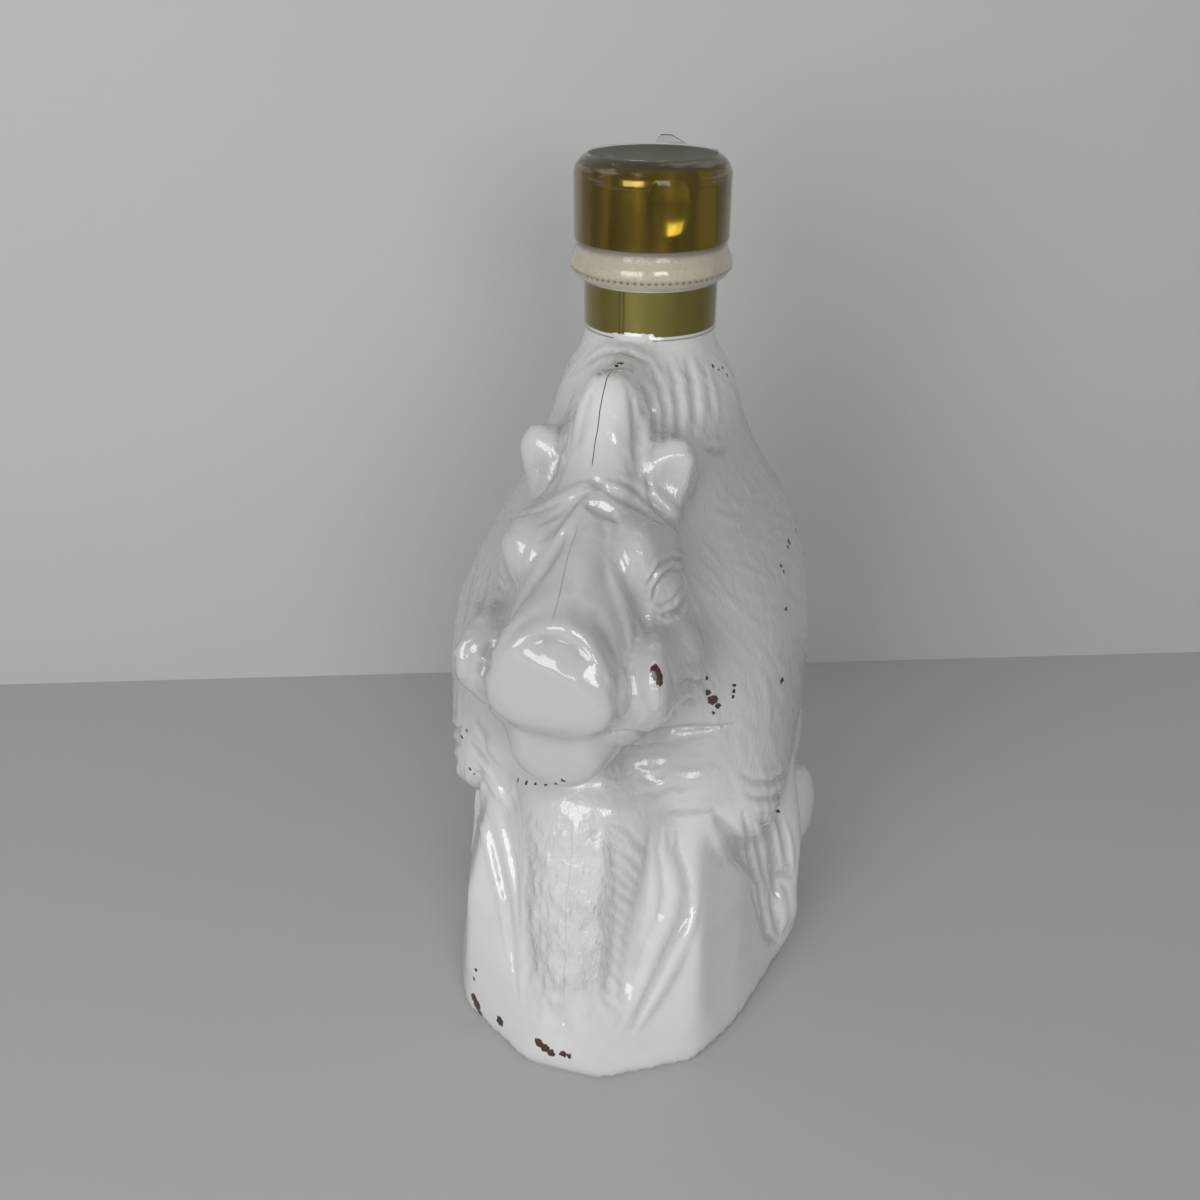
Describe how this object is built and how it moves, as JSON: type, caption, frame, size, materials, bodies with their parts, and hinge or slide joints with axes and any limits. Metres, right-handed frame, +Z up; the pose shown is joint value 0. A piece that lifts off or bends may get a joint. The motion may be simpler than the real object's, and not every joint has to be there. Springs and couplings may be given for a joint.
{
  "type": "figural decanter",
  "caption": "Glass liquor decanter blown as a standing wild boar on a faceted rock, with a gold screw cap, a foil neck band and a clear shrink sleeve.",
  "frame": {"origin": "on the surface the decanter stands on, below the middle of its bounding box", "axes": "+Z up along the neck; the boar faces -Y; +X is the boar's left"},
  "size_m": [0.1014, 0.1384, 0.2176],
  "materials": {
    "coated_glass": "opaque glossy white coat over brown glass, chipped in places",
    "band_foil": "satin olive-gold foil",
    "clear_film": "clear glossy shrink film",
    "liner_foam": "matt foamed liner",
    "cap_lining": "moulded natural plastic",
    "cap_gold": "metallised dark gold, glossy"
  },
  "bodies": {
    "bottle": {"glass_bottle": "coated_glass", "neck_band": "band_foil", "sleeve_lower": "clear_film"},
    "disc": {"sealing_disc": "liner_foam"},
    "cap": {"outer_cap": "cap_gold", "inner_cap": "cap_lining", "sleeve_upper": "clear_film"}
  },
  "joints": [
    {"name": "cap_lift", "type": "slide", "parent": "bottle", "child": "disc", "axis": [0, 0, 1], "range_m": [0, 0.0048]},
    {"name": "cap_turn", "type": "hinge", "parent": "disc", "child": "cap", "pos_m": [0, 0.01132, 0.2], "axis": [0, 0, 1], "range_deg": [0, 540]}
  ],
  "couplings": [
    {"joint": "cap_lift", "follows": "cap_turn", "m_per_rad": 0.00050929}
  ]
}
